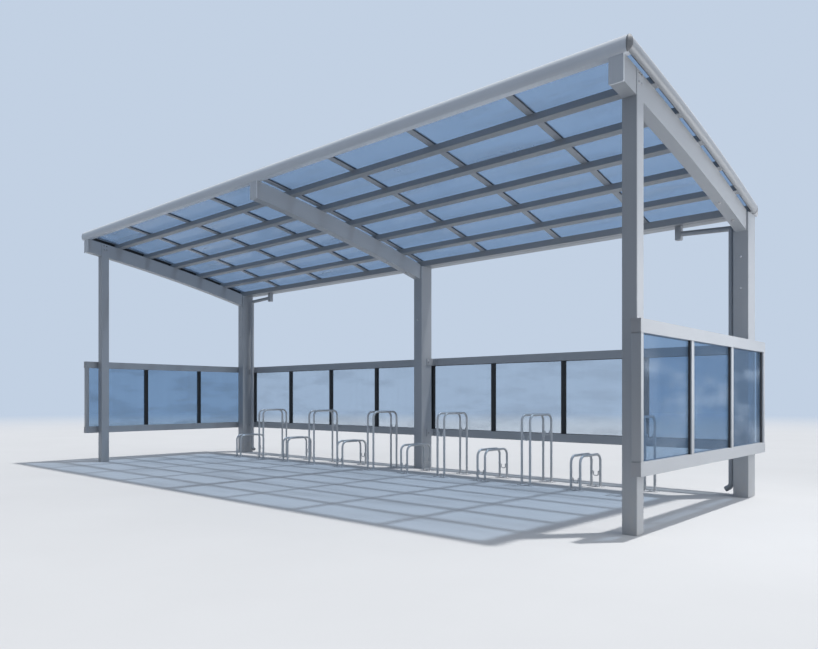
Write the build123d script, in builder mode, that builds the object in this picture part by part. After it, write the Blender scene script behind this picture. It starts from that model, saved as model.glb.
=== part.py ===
"""Bike shelter: two bays under one arched lean-to roof, with low side and rear screens and twelve racks."""

import math
import os

from build123d import *

os.makedirs("parts", exist_ok=True)

# Millimetres. X runs along the shelter from its middle, Y from the front to the back, Z up from the ground.

# Places of the frame
bay_length = 2960            # from the middle of one beam to the next
front_post_y = -915          # front faces of the front posts
rear_post_y = 855            # front faces of the rear posts
seat_gap = 0.3               # between the fascia and the fronts of the beams
cut_margin = 400             # how far cuts run past the roof

# Front posts: tubes whose side walls run up past the beam that they carry
front_post_size = 80
front_post_wall = 3
post_corner_cut = 2.5
foot_thickness = 6           # plate that closes the foot of every post
fork_drop = 3                # from the beam's top to the ends of the side walls beside it

# Rear posts
rear_post_width = 100
rear_post_depth = 150
rear_post_wall = 4
rear_post_height = 1962

# Roof arc: the top line of the side frames
front_overhang = 165         # of the roof, past the front posts
rear_overhang = 25           # of the roof, over the gutter
side_overhang = 85           # of the roof, past the middles of the outer beams
roof_front_height = 2438
roof_rear_rise = 71          # from the tops of the rear posts to the rear end of that line
roof_radius = 18000

# Depths of the roof's layers under that top line
beam_depth_below = 81
purlin_height = 44
glazing_bar_height = 22
sheet_depth_below = 27
sheet_thickness = 3
sheet_clearance = 1.5        # above the sheet in its slots, and at its side edges

# Beams
beam_width = 73
beam_height = 135
beam_wall = 3
beam_cap_thickness = 12
beam_cap_overlap = 2         # how far the end cap stands out round the beam

# Purlins
purlin_depth = 50
purlin_wall = 2
purlin_count = 5
first_purlin_inset = 205     # of its middle behind the front posts' front faces
purlin_pitch = 330

# Edge frames
frame_width = 28             # of the rounded hollow part
frame_height = 86
frame_wall = 2.5
frame_top_radius = 18
frame_bottom_radius = 9
grip_width = 20              # ledge and lip that hold the sheet's edge
lip_thickness = 3
corner_cap_radius = 12       # of the corner caps' upright edge
corner_cap_round = 8
fascia_drop = 92             # lower edge of the drip lip under the fascia's top
fascia_face_height = 76
fascia_radius = 36           # of the fascia's rounded front
fascia_seat_width = 38       # hollow part of the fascia that sits on the beams
fascia_hollow_height = 28
fascia_wall = 4
drip_inset = 8               # of the drip lip behind the fascia's face
drip_thickness = 6.7
end_cap_thickness = 14

# Glazing
panels_per_bay = 4
panel_overhang = 60          # of the last panel past the middle of the outer beam
bar_end_gap = 8              # between the fascia's back and the tops of the glazing bars
glazing_bar_width = 44
glazing_bar_web = 8
sheet_slot_depth = 14

# Rear rail and gutter
rear_rail_inset = 30         # behind the rear posts' front faces
rear_rail_depth = 45
rear_rail_wall = 3
gutter_depth = 130
gutter_height = 66
gutter_back_height = 36      # of the wall beside the rear rail, under the sheets
gutter_wall = 2.5
gutter_radius = 24
gutter_overhang = 45         # past the middles of the outer posts
gutter_cap_thickness = 9
gutter_rib = 1.2             # height of the two ribs along the gutter's outer wall
gutter_ribs = (4, 30)        # their places above the rounded lower edge

# Downpipes
bend_chords = 2              # straight pieces in each bend of the pipes and racks
outlet_inset = 467           # of its middle from the middle of the outer post
outlet_size = 46
outlet_height = 102
outlet_corner_cut = 6
outlet_wall = 3              # of its floor
outlet_bore = 36             # side of its square inside
pipe_clearance = 26          # between the pipe and the side of the outer post
pipe_inset = 35              # of its middle behind the gutter's front wall
pipe_diameter = 38
pipe_wall = 2
pipe_sides = 12
pipe_drop = 57               # from the gutter's underside to the pipe's middle at the outlet
pipe_fall = 17
pipe_bend_radius = 46
shoe_height = 50
shoe_reach = 62

# Screens: rails, uprights and panes
screen_top = 1070
screen_bottom = 309
rail_height = 68
rail_depth = 50
rail_wall = 2.5
upright_depth = 34
upright_wall = 2
stile_width = 30
mullion_width = 33
pane_thickness = 6
side_screen_gap = 23         # between the front posts and the side screens
side_screen_front_reach = 117  # past the front posts
side_screen_rear_reach = 5     # past the rear posts
side_mullions = (-348, 325)
rail_cap_thickness = 4
spacer_length = 60           # of the blocks between posts and side screens
spacer_height = 44
rear_standoff = 25           # between the rear posts and the rear screens
rear_screen_gap = 30         # between the two rear screens, behind the middle post
rear_pane_count = 4
bracket_length = 100         # of the leg on the rear post's side
bracket_foot = 45            # of the leg on the rail
bracket_thickness = 5

# Racks
rack_count = 12
rack_pitch = 430
rack_inset = 112             # from the rear legs' middles to the rear posts' front faces
rack_length = 320            # between the middles of the front and rear legs
rack_tube = 19
rack_tube_sides = 8
rack_gap = 75                # between the middles of a rack's two hoops
high_rack_height = 560
low_rack_height = 262
rack_bend_radius = 55
rack_plate_length = 130
rack_plate_width = 50
rack_plate_thickness = 5
rest_rod = 8                 # of the bent rods that hold a wheel between the hoops
rest_depth = 34
rest_bend_radius = 14
rest_rod_sides = 6
front_rest_drop = 172        # of the rests between the front legs, under the hoops' tops
rear_rest_drop = 143


# Places that follow from these sizes
rear_post_back = rear_post_y + rear_post_depth
rear_rail_y = rear_post_y + rear_rail_inset
rear_rail_back = rear_rail_y + rear_rail_depth
roof_front_y = front_post_y - front_overhang
roof_rear_y = rear_rail_back + rear_overhang
roof_rear_height = rear_post_height + roof_rear_rise
beam_front_y = roof_front_y + drip_inset + drip_thickness + seat_gap
first_purlin_y = front_post_y + first_purlin_inset
frame_outer_x = bay_length + side_overhang
frame_inner_x = frame_outer_x - frame_width
gutter_end_x = bay_length + gutter_overhang
outlet_x = bay_length - outlet_inset
pipe_x = bay_length - rear_post_width / 2 - pipe_clearance - pipe_diameter / 2
pipe_y = rear_rail_back + pipe_inset
pipe_height = rear_post_height - pipe_drop
side_screen_x = bay_length + front_post_size / 2 + side_screen_gap + rail_depth / 2
side_screen_front = front_post_y - side_screen_front_reach
side_screen_rear = rear_post_back + side_screen_rear_reach
rear_screen_y = rear_post_back + rear_standoff + rail_depth / 2
rear_screen_end = bay_length - rear_screen_gap / 2
rear_mullion_pitch = (rear_screen_end - rear_screen_gap / 2 - stile_width) / rear_pane_count
rack_rear_y = rear_post_y - rack_inset
rack_front_y = rack_rear_y - rack_length

# The roof arc's centre, from its two ends and its radius
chord_y = roof_rear_y - roof_front_y
chord_z = roof_rear_height - roof_front_height
chord = math.hypot(chord_y, chord_z)
rise = math.sqrt(roof_radius**2 - (chord / 2) ** 2)
arc_y = (roof_front_y + roof_rear_y) / 2 + rise * chord_z / chord
arc_z = (roof_front_height + roof_rear_height) / 2 - rise * chord_y / chord
roof_axis = Axis((0, arc_y, arc_z), (-1, 0, 0))

beam_top = roof_radius - beam_depth_below
beam_bottom = beam_top - beam_height
purlin_top = math.hypot(beam_top + purlin_height, purlin_depth / 2)
above_roof = roof_radius + cut_margin
sheet_bottom = roof_radius - sheet_depth_below


def roof_z(radius, y):
    """Height of the arc of this radius at y."""
    return arc_z + math.sqrt(radius**2 - (y - arc_y) ** 2)


def roof_angle(radius, y):
    """Angle from the upright, in degrees, at which the arc of this radius reaches y."""
    return math.degrees(math.asin((y - arc_y) / radius))


def section_plane(angle):
    """Plane square to the arc at an angle: its x is X, its y the distance from the arc's centre."""
    a = math.radians(angle)
    return Plane(origin=(0, arc_y, arc_z), x_dir=(1, 0, 0), z_dir=(0, -math.cos(a), math.sin(a)))


def seat_plane(angle, radius):
    """Plane across the shelter at a point of the arc: its x runs down the roof, its y out of it."""
    a = math.radians(angle)
    origin = (0, arc_y + radius * math.sin(a), arc_z + radius * math.cos(a))
    return Plane(origin=origin, x_dir=(0, math.cos(a), -math.sin(a)), z_dir=(1, 0, 0))


def side_outline(inner, outer, front, rear):
    """Edges in YZ between two arcs and two upright ends."""
    middle = (front + rear) / 2
    with BuildLine() as outline:
        ThreePointArc(*[(y, roof_z(outer, y)) for y in (front, middle, rear)])
        Line((rear, roof_z(outer, rear)), (rear, roof_z(inner, rear)))
        ThreePointArc(*[(y, roof_z(inner, y)) for y in (rear, middle, front)])
        Line((front, roof_z(inner, front)), (front, roof_z(outer, front)))
    return outline.edges()


def frame_outline(side):
    """Edges of the side frames' rounded outline, in a plane square to the arc."""
    with BuildLine() as outline:
        rim = FilletPolyline((side * frame_inner_x, roof_radius), (side * frame_outer_x, roof_radius),
                             (side * frame_outer_x, roof_radius - frame_height),
                             (side * frame_inner_x, roof_radius - frame_height),
                             radius=(frame_top_radius, frame_bottom_radius))
        Line(rim @ 1, rim @ 0)
    return outline.edges()


def bent_route(points, radii, chords):
    """Points of a bent tube's middle: each corner that has a radius is rounded by this many chords."""
    route = [Vector(points[0])]
    for before, corner, after, radius in zip(points, points[1:], points[2:], radii):
        back = (Vector(before) - Vector(corner)).normalized() * radius
        ahead = (Vector(after) - Vector(corner)).normalized() * radius
        for n in range(chords + 1 if radius else 1):
            turn = math.pi / 2 * n / chords
            route.append(Vector(corner) + back * (1 - math.sin(turn)) + ahead * (1 - math.cos(turn)))
    return route + [Vector(points[-1])]


def finish(part, name):
    part.part.label = name
    export_step(part.part, f"parts/{name}.step")


# Front posts
front_post_middle = front_post_y + front_post_size / 2
front_post_back = front_post_y + front_post_size
fork_width = front_post_size - 2 * front_post_wall
for side, x in (("left", -bay_length), ("right", bay_length)):
    with BuildPart() as front_post:
        with BuildSketch() as section:
            with Locations((x, front_post_middle)):
                Rectangle(front_post_size, front_post_size)
            chamfer(section.vertices(), post_corner_cut)
            with Locations((x, front_post_middle)):
                Rectangle(fork_width, fork_width, mode=Mode.SUBTRACT)
        extrude(amount=roof_front_height)
        with BuildSketch():
            with Locations((x, front_post_middle)):
                Rectangle(fork_width, fork_width)
        extrude(amount=foot_thickness)
        # the tube stops under the beam, and its side walls run on
        with BuildSketch(Plane.YZ.offset(x - fork_width / 2)):
            make_face(side_outline(beam_bottom, above_roof, front_post_y, front_post_back))
        extrude(amount=fork_width, mode=Mode.SUBTRACT)
        with BuildSketch(Plane.YZ.offset(x - front_post_size / 2)):
            make_face(side_outline(beam_top - fork_drop, above_roof, front_post_y, front_post_back))
        extrude(amount=front_post_size, mode=Mode.SUBTRACT)
    finish(front_post, f"front_post_{side}")

# Rear posts, closed at the foot and at the top
for side, x in (("left", -bay_length), ("middle", 0), ("right", bay_length)):
    with BuildPart() as rear_post:
        with BuildSketch() as section:
            with Locations((x, rear_post_y + rear_post_depth / 2)):
                Rectangle(rear_post_width, rear_post_depth)
            chamfer(section.vertices(), post_corner_cut)
        extrude(amount=rear_post_height)
        with BuildSketch(Plane.XY.offset(foot_thickness)):
            with Locations((x, rear_post_y + rear_post_depth / 2)):
                Rectangle(rear_post_width - 2 * rear_post_wall, rear_post_depth - 2 * rear_post_wall)
        extrude(amount=rear_post_height - foot_thickness - rear_post_wall, mode=Mode.SUBTRACT)
    finish(rear_post, f"rear_post_{side}")

# Beams: hollow, arched, from the end cap to the rear post
beam_start = beam_front_y + beam_cap_thickness
for side, x in (("left", -bay_length), ("middle", 0), ("right", bay_length)):
    with BuildPart() as beam:
        with BuildSketch(Plane.YZ.offset(x - beam_width / 2)):
            make_face(side_outline(beam_bottom, beam_top, beam_start, rear_post_y))
        extrude(amount=beam_width)
        with BuildSketch(Plane.YZ.offset(x - beam_width / 2 + beam_wall)):
            make_face(side_outline(beam_bottom + beam_wall, beam_top - beam_wall, beam_start, rear_post_y))
        extrude(amount=beam_width - 2 * beam_wall, mode=Mode.SUBTRACT)
    finish(beam, f"beam_{side}")

# End caps of the beams, a little larger than the beams at the sides and below
cap_width = beam_width + 2 * beam_cap_overlap
cap_top = roof_z(beam_top, beam_start)
cap_bottom = roof_z(beam_bottom, beam_start) - beam_cap_overlap
with BuildPart() as beam_end_caps:
    with BuildSketch(Plane.XZ.offset(-beam_start)) as section:
        with Locations(*[(x, (cap_top + cap_bottom) / 2) for x in (-bay_length, 0, bay_length)]):
            Rectangle(cap_width, cap_top - cap_bottom)
        chamfer(section.vertices(), post_corner_cut)
    extrude(amount=beam_cap_thickness)
finish(beam_end_caps, "beam_end_caps")

# Purlins: hollow, open at their ends, square to the arc that they sit on
purlin_middle = beam_top + purlin_height / 2
with BuildPart() as purlins:
    for n in range(purlin_count):
        angle = roof_angle(purlin_middle, first_purlin_y + n * purlin_pitch)
        with BuildSketch(seat_plane(angle, purlin_middle).offset(-frame_inner_x)):
            Rectangle(purlin_depth, purlin_height)
            Rectangle(purlin_depth - 2 * purlin_wall, purlin_height - 2 * purlin_wall, mode=Mode.SUBTRACT)
        extrude(amount=2 * frame_inner_x)
finish(purlins, "purlins")

# Rear rail on the rear posts: its top follows the arc of the purlins' tops
rail_tops = [roof_z(purlin_top, y) for y in (rear_rail_y, rear_rail_back)]
with BuildPart() as rear_rail:
    with BuildSketch(Plane.YZ.offset(-frame_inner_x)):
        with BuildLine():
            Polyline((rear_rail_y, rear_post_height), (rear_rail_back, rear_post_height),
                     (rear_rail_back, rail_tops[1]), (rear_rail_y, rail_tops[0]), close=True)
        make_face()
        offset(amount=-rear_rail_wall, mode=Mode.SUBTRACT)
    extrude(amount=2 * frame_inner_x)
finish(rear_rail, "rear_rail")

# Fascia: a rounded front with a drip lip, and a hollow part behind it that sits on the beams' caps
fascia_back = roof_front_y + frame_width + fascia_seat_width
face_bottom = roof_front_height - fascia_face_height
sheet_front = fascia_back - sheet_slot_depth
slot_height = sheet_thickness + sheet_clearance
with BuildPart() as fascia:
    with BuildSketch(Plane.YZ.offset(-frame_inner_x)):
        with BuildLine():
            face = FilletPolyline(
                (fascia_back, roof_z(roof_radius, fascia_back)),
                (roof_front_y, roof_front_height),
                (roof_front_y, face_bottom),
                (roof_front_y + drip_inset, face_bottom),
                radius=(fascia_radius, drip_inset / 2))
            Polyline(face @ 1, (roof_front_y + drip_inset, roof_front_height - fascia_drop),
                     (beam_front_y - seat_gap, roof_front_height - fascia_drop),
                     (beam_front_y - seat_gap, cap_top), (fascia_back, cap_top), face @ 0)
        make_face()
        with Locations(((roof_front_y + fascia_back) / 2, cap_top + fascia_wall + fascia_hollow_height / 2)):
            Rectangle(fascia_back - roof_front_y - 2 * fascia_wall, fascia_hollow_height, mode=Mode.SUBTRACT)
    extrude(amount=2 * frame_inner_x)
    with BuildSketch(section_plane(roof_angle(sheet_bottom, sheet_front))):
        with Locations((0, sheet_bottom + slot_height / 2)):
            Rectangle(2 * frame_outer_x, slot_height)
    revolve(axis=roof_axis, revolution_arc=1, mode=Mode.SUBTRACT)
finish(fascia, "fascia")

# Corner caps where the fascia meets the side frames, cut square to the arc behind
corner_back = roof_front_y + frame_width
frame_start_angle = roof_angle(roof_radius, corner_back)
frame_start_plane = Plane(origin=(0, corner_back, roof_z(roof_radius, corner_back)),
                          z_dir=seat_plane(frame_start_angle, roof_radius).x_dir)
with BuildPart() as corner_caps:
    with BuildSketch(Plane.XY.offset(roof_front_height - fascia_drop)):
        for side in (-1, 1):
            with BuildLine():
                corner = FilletPolyline((side * frame_inner_x, roof_front_y), (side * frame_outer_x, roof_front_y),
                                        (side * frame_outer_x, roof_front_y + frame_width),
                                        radius=corner_cap_radius)
                Polyline(corner @ 1, (side * frame_inner_x, roof_front_y + frame_width), corner @ 0)
            make_face()
    extrude(amount=fascia_drop)
    split(bisect_by=frame_start_plane, keep=Keep.BOTTOM)
    fillet(corner_caps.edges().group_by(Axis.Z)[-1].group_by(Axis.Y)[:2], corner_cap_round)
finish(corner_caps, "corner_caps")

# Side frames: rounded hollow members with a ledge under the sheet's edge and a lip over it
frame_end_angle = roof_angle(roof_radius, roof_rear_y - end_cap_thickness)
grip_start_angle = roof_angle(roof_radius, fascia_back + bar_end_gap)
grip_reach = grip_width + frame_wall / 2
frame_hollow_height = frame_height - frame_top_radius - frame_bottom_radius
frame_hollow_middle = frame_top_radius + frame_hollow_height / 2
for side, name in ((-1, "left"), (1, "right")):
    grip_x = side * (frame_inner_x - grip_width + grip_reach / 2)
    with BuildPart() as side_frame:
        with BuildSketch(section_plane(frame_start_angle)):
            make_face(frame_outline(side))
            with Locations((side * (frame_outer_x - frame_width / 2), roof_radius - frame_hollow_middle)):
                Rectangle(frame_width - 2 * frame_wall, frame_hollow_height, mode=Mode.SUBTRACT)
        revolve(axis=roof_axis, revolution_arc=frame_end_angle - frame_start_angle)
        # the ledge and the lip start behind the fascia
        with BuildSketch(section_plane(grip_start_angle)):
            with Locations((grip_x, sheet_bottom - lip_thickness / 2),
                           (grip_x, sheet_bottom + slot_height + lip_thickness / 2)):
                Rectangle(grip_reach, lip_thickness)
        revolve(axis=roof_axis, revolution_arc=frame_end_angle - grip_start_angle)
    finish(side_frame, f"side_frame_{name}")

# End caps at the rear of the side frames
with BuildPart() as frame_end_caps:
    with BuildSketch(section_plane(frame_end_angle)):
        for side in (-1, 1):
            make_face(frame_outline(side))
    revolve(axis=roof_axis, revolution_arc=roof_angle(roof_radius, roof_rear_y) - frame_end_angle)
finish(frame_end_caps, "frame_end_caps")

# Glazing bars: two flanges and a web, with a sheet in the slot at each side
panel_pitch = (bay_length + panel_overhang) / panels_per_bay
bar_xs = [n * panel_pitch for n in range(1 - panels_per_bay, panels_per_bay)]
bar_start_angle = roof_angle(roof_radius, fascia_back + bar_end_gap)
bar_arc = roof_angle(roof_radius, roof_rear_y) - bar_start_angle
slot_width = (glazing_bar_width - glazing_bar_web) / 2
with BuildPart() as glazing_bars:
    with BuildSketch(section_plane(bar_start_angle)):
        with Locations(*[(x, purlin_top + glazing_bar_height / 2) for x in bar_xs]):
            Rectangle(glazing_bar_width, glazing_bar_height)
        with Locations(*[(x + side * (glazing_bar_web + slot_width) / 2, sheet_bottom + slot_height / 2)
                         for x in bar_xs for side in (-1, 1)]):
            Rectangle(slot_width, slot_height, mode=Mode.SUBTRACT)
    revolve(axis=roof_axis, revolution_arc=bar_arc)
finish(glazing_bars, "glazing_bars")

# Roof sheets: four over each bay, with their side edges in the bars and the side frame
sheet_start_angle = roof_angle(sheet_bottom, sheet_front + sheet_clearance)
sheet_arc = roof_angle(sheet_bottom, roof_rear_y) - sheet_start_angle
sheet_edge = glazing_bar_web / 2 + sheet_clearance
for side, name in ((-1, "left"), (1, "right")):
    with BuildPart() as roof_sheets:
        with BuildSketch(section_plane(sheet_start_angle)):
            for n in range(panels_per_bay):
                near = n * panel_pitch + sheet_edge
                far = min((n + 1) * panel_pitch - sheet_edge, frame_inner_x - sheet_clearance)
                with Locations((side * (near + far) / 2, sheet_bottom + sheet_thickness / 2)):
                    Rectangle(far - near, sheet_thickness)
        revolve(axis=roof_axis, revolution_arc=sheet_arc)
    finish(roof_sheets, f"roof_sheets_{name}")

# Gutter on the rear posts, open at the top, with two ribs along its front wall
gutter_back = rear_rail_back + gutter_depth
gutter_top = rear_post_height + gutter_height
with BuildPart() as gutter:
    with BuildSketch(Plane.YZ.offset(-gutter_end_x)):
        with BuildLine():
            trough = FilletPolyline((rear_rail_back, rear_post_height + gutter_back_height),
                                    (rear_rail_back, rear_post_height), (gutter_back, rear_post_height),
                                    (gutter_back, gutter_top), radius=gutter_radius)
            Polyline(trough @ 1, (gutter_back - gutter_wall, gutter_top))
            inside = FilletPolyline(
                (rear_rail_back + gutter_wall, rear_post_height + gutter_back_height),
                (rear_rail_back + gutter_wall, rear_post_height + gutter_wall),
                (gutter_back - gutter_wall, rear_post_height + gutter_wall),
                (gutter_back - gutter_wall, gutter_top), radius=gutter_radius - gutter_wall)
            Line(inside @ 0, trough @ 0)
        make_face()
        with Locations(*[(gutter_back, rear_post_height + gutter_radius + h) for h in gutter_ribs]):
            Rectangle(2 * gutter_rib, 3 * gutter_rib)
    extrude(amount=2 * gutter_end_x)
finish(gutter, "gutter")

# End caps of the gutter
with BuildPart() as gutter_end_caps:
    for side in (-1, 1):
        with BuildSketch(Plane.YZ.offset(side * gutter_end_x)):
            with BuildLine():
                cap = FilletPolyline((rear_rail_back, rear_post_height + gutter_back_height),
                                     (rear_rail_back, rear_post_height), (gutter_back, rear_post_height),
                                     (gutter_back, gutter_top), radius=gutter_radius)
                Line(cap @ 1, cap @ 0)
            make_face()
        extrude(amount=side * gutter_cap_thickness)
finish(gutter_end_caps, "gutter_end_caps")

# Downpipes: an outlet box under the gutter, then one pipe to the foot of the rear post
outlet_side = outlet_x + outlet_size / 2
for side, name in ((-1, "left"), (1, "right")):
    with BuildPart() as downpipe:
        with BuildSketch(Plane.XY.offset(rear_post_height - outlet_height)) as section:
            with Locations((side * outlet_x, pipe_y)):
                Rectangle(outlet_size, outlet_size)
            chamfer(section.vertices(), outlet_corner_cut)
        extrude(amount=outlet_height)
        with BuildSketch(Plane.XY.offset(rear_post_height - outlet_height + outlet_wall)):
            with Locations((side * outlet_x, pipe_y)):
                Rectangle(outlet_bore, outlet_bore)
        extrude(amount=outlet_height - outlet_wall, mode=Mode.SUBTRACT)
        with BuildLine():
            run = Polyline(*bent_route(((side * (outlet_side - outlet_wall), pipe_y, pipe_height),
                                        (side * pipe_x, pipe_y, pipe_height - pipe_fall),
                                        (side * pipe_x, pipe_y, shoe_height),
                                        (side * (pipe_x - shoe_reach), pipe_y, shoe_height)),
                                       (pipe_bend_radius, pipe_bend_radius), bend_chords))
        with BuildSketch(Plane(origin=run @ 0, z_dir=run % 0)):
            RegularPolygon(pipe_diameter / 2, pipe_sides)
            RegularPolygon(pipe_diameter / 2 - pipe_wall, pipe_sides, mode=Mode.SUBTRACT)
        sweep(path=run, transition=Transition.RIGHT)
    finish(downpipe, f"downpipe_{name}")

# Side screens: two rails, with uprights and panes between them
rail_heights = (screen_bottom + rail_height / 2, screen_top - rail_height / 2)
pane_bottom = screen_bottom + rail_height
pane_height = screen_top - screen_bottom - 2 * rail_height
side_uprights = [(side_screen_front + stile_width / 2, stile_width)]
side_uprights += [(y, mullion_width) for y in side_mullions]
side_uprights += [(side_screen_rear - stile_width / 2, stile_width)]
side_screen_middle = (side_screen_front + side_screen_rear) / 2
side_screen_length = side_screen_rear - side_screen_front
for side, name in ((-1, "left"), (1, "right")):
    x = side * side_screen_x
    with BuildPart() as side_screen_rails:
        with BuildSketch(Plane.XZ.offset(-side_screen_front)):
            with Locations(*[(x, z) for z in rail_heights]):
                Rectangle(rail_depth, rail_height)
                Rectangle(rail_depth - 2 * rail_wall, rail_height - 2 * rail_wall, mode=Mode.SUBTRACT)
        extrude(amount=-side_screen_length)
    finish(side_screen_rails, f"side_screen_rails_{name}")
    with BuildPart() as side_screen_uprights:
        with BuildSketch(Plane.XY.offset(pane_bottom)):
            for y, width in side_uprights:
                with Locations((x, y)):
                    Rectangle(upright_depth, width)
                    Rectangle(upright_depth - 2 * upright_wall, width - 2 * upright_wall, mode=Mode.SUBTRACT)
        extrude(amount=pane_height)
    finish(side_screen_uprights, f"side_screen_uprights_{name}")
    with BuildPart() as side_screen_panes:
        with BuildSketch(Plane.XY.offset(pane_bottom)):
            for (y, width), (next_y, next_width) in zip(side_uprights, side_uprights[1:]):
                front = y + width / 2
                back = next_y - next_width / 2
                with Locations((x, (front + back) / 2)):
                    Rectangle(pane_thickness, back - front)
        extrude(amount=pane_height)
    finish(side_screen_panes, f"side_screen_panes_{name}")

# Caps in the rails' ends
with BuildPart() as rail_end_caps:
    for y, out in ((side_screen_front, 1), (side_screen_rear, -1)):
        with BuildSketch(Plane.XZ.offset(-y)):
            with Locations(*[(side * side_screen_x, z) for side in (-1, 1) for z in rail_heights]):
                Rectangle(rail_depth, rail_height)
        extrude(amount=out * rail_cap_thickness)
finish(rail_end_caps, "rail_end_caps")

# Spacers that carry the side screens on the posts
screen_inner_x = side_screen_x - rail_depth / 2
spacer_starts = ((bay_length + front_post_size / 2, front_post_middle),
                 (bay_length + rear_post_width / 2, rear_post_y + rear_post_depth / 2))
with BuildPart() as screen_spacers:
    for start, y in spacer_starts:
        for side in (-1, 1):
            with BuildSketch(Plane.YZ.offset(side * start)):
                with Locations(*[(y, z) for z in rail_heights]):
                    Rectangle(spacer_length, spacer_height)
            extrude(amount=side * (screen_inner_x - start))
finish(screen_spacers, "screen_spacers")

# Rear screens: one behind each bay
rear_uprights = [(rear_screen_gap / 2 + stile_width / 2, stile_width)]
rear_uprights += [(rear_uprights[0][0] + n * rear_mullion_pitch, mullion_width)
                  for n in range(1, rear_pane_count)]
rear_uprights += [(rear_screen_end - stile_width / 2, stile_width)]
for side, name in ((-1, "left"), (1, "right")):
    with BuildPart() as rear_screen_rails:
        with BuildSketch(Plane.YZ.offset(side * rear_screen_gap / 2)):
            with Locations(*[(rear_screen_y, z) for z in rail_heights]):
                Rectangle(rail_depth, rail_height)
                Rectangle(rail_depth - 2 * rail_wall, rail_height - 2 * rail_wall, mode=Mode.SUBTRACT)
        extrude(amount=side * (rear_screen_end - rear_screen_gap / 2))
    finish(rear_screen_rails, f"rear_screen_rails_{name}")
    with BuildPart() as rear_screen_uprights:
        with BuildSketch(Plane.XY.offset(pane_bottom)):
            for x, width in rear_uprights:
                with Locations((side * x, rear_screen_y)):
                    Rectangle(width, upright_depth)
                    Rectangle(width - 2 * upright_wall, upright_depth - 2 * upright_wall, mode=Mode.SUBTRACT)
        extrude(amount=pane_height)
    finish(rear_screen_uprights, f"rear_screen_uprights_{name}")
    with BuildPart() as rear_screen_panes:
        with BuildSketch(Plane.XY.offset(pane_bottom)):
            for (x, width), (next_x, next_width) in zip(rear_uprights, rear_uprights[1:]):
                near = x + width / 2
                far = next_x - next_width / 2
                with Locations((side * (near + far) / 2, rear_screen_y)):
                    Rectangle(far - near, pane_thickness)
        extrude(amount=pane_height)
    finish(rear_screen_panes, f"rear_screen_panes_{name}")

# Angle brackets from the sides of the rear posts to the rails of the rear screens
rail_front = rear_screen_y - rail_depth / 2
bracket_sides = ((-bay_length + rear_post_width / 2, 1), (-rear_post_width / 2, -1),
                 (rear_post_width / 2, 1), (bay_length - rear_post_width / 2, -1))
with BuildPart() as screen_brackets:
    for z in rail_heights:
        with BuildSketch(Plane.XY.offset(z - rail_height / 2)):
            for x, out in bracket_sides:
                with Locations((x + out * bracket_thickness / 2, rail_front - bracket_length / 2)):
                    Rectangle(bracket_thickness, bracket_length)
                with Locations((x + out * bracket_foot / 2, rail_front - bracket_thickness / 2)):
                    Rectangle(bracket_foot, bracket_thickness)
        extrude(amount=rail_height)
finish(screen_brackets, "screen_brackets")

# Racks: pairs of hoops on small plates, low and high by turns
rack_xs = [(n - (rack_count - 1) / 2) * rack_pitch for n in range(rack_count)]
for name, xs, height in (("low", rack_xs[::2], low_rack_height), ("high", rack_xs[1::2], high_rack_height)):
    with BuildPart() as racks:
        for tube_x in [x + out * rack_gap / 2 for x in xs for out in (-1, 1)]:
            with BuildLine():
                hoop = Polyline(*bent_route(((tube_x, rack_front_y, rack_plate_thickness),
                                             (tube_x, rack_front_y, height - rack_tube / 2),
                                             (tube_x, rack_rear_y, height - rack_tube / 2),
                                             (tube_x, rack_rear_y, rack_plate_thickness)),
                                            (rack_bend_radius, rack_bend_radius), bend_chords))
            with BuildSketch(Plane(origin=hoop @ 0, x_dir=(1, 0, 0), z_dir=hoop % 0)):
                RegularPolygon(rack_tube / 2, rack_tube_sides, major_radius=False, rotation=180 / rack_tube_sides)
            sweep(path=hoop, transition=Transition.RIGHT)
    finish(racks, f"{name}_racks")

# Wheel rests: bent rods that hang between the legs, front and rear, of every rack
rest_half = (rack_gap - rack_tube) / 2
with BuildPart() as wheel_rests:
    for n, x in enumerate(rack_xs):
        height = high_rack_height if n % 2 else low_rack_height
        for y, drop in ((rack_front_y, front_rest_drop), (rack_rear_y, rear_rest_drop)):
            z = height - drop
            with BuildLine():
                rod = Polyline(*bent_route(((x - rest_half, y, z), (x - rest_half + rest_rod, y, z),
                                            (x - rest_half + rest_rod, y, z - rest_depth),
                                            (x + rest_half - rest_rod, y, z - rest_depth),
                                            (x + rest_half - rest_rod, y, z), (x + rest_half, y, z)),
                                           (0, rest_bend_radius, rest_bend_radius, 0), 1))
            with BuildSketch(Plane(origin=rod @ 0, z_dir=rod % 0)):
                RegularPolygon(rest_rod / 2, rest_rod_sides)
            sweep(path=rod, transition=Transition.RIGHT)
finish(wheel_rests, "wheel_rests")

# Small plates under the racks' legs
with BuildPart() as rack_plates:
    with BuildSketch():
        with Locations(*[(x, y) for x in rack_xs for y in (rack_front_y, rack_rear_y)]):
            Rectangle(rack_plate_length, rack_plate_width)
    extrude(amount=rack_plate_thickness)
finish(rack_plates, "rack_plates")
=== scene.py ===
import math

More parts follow.
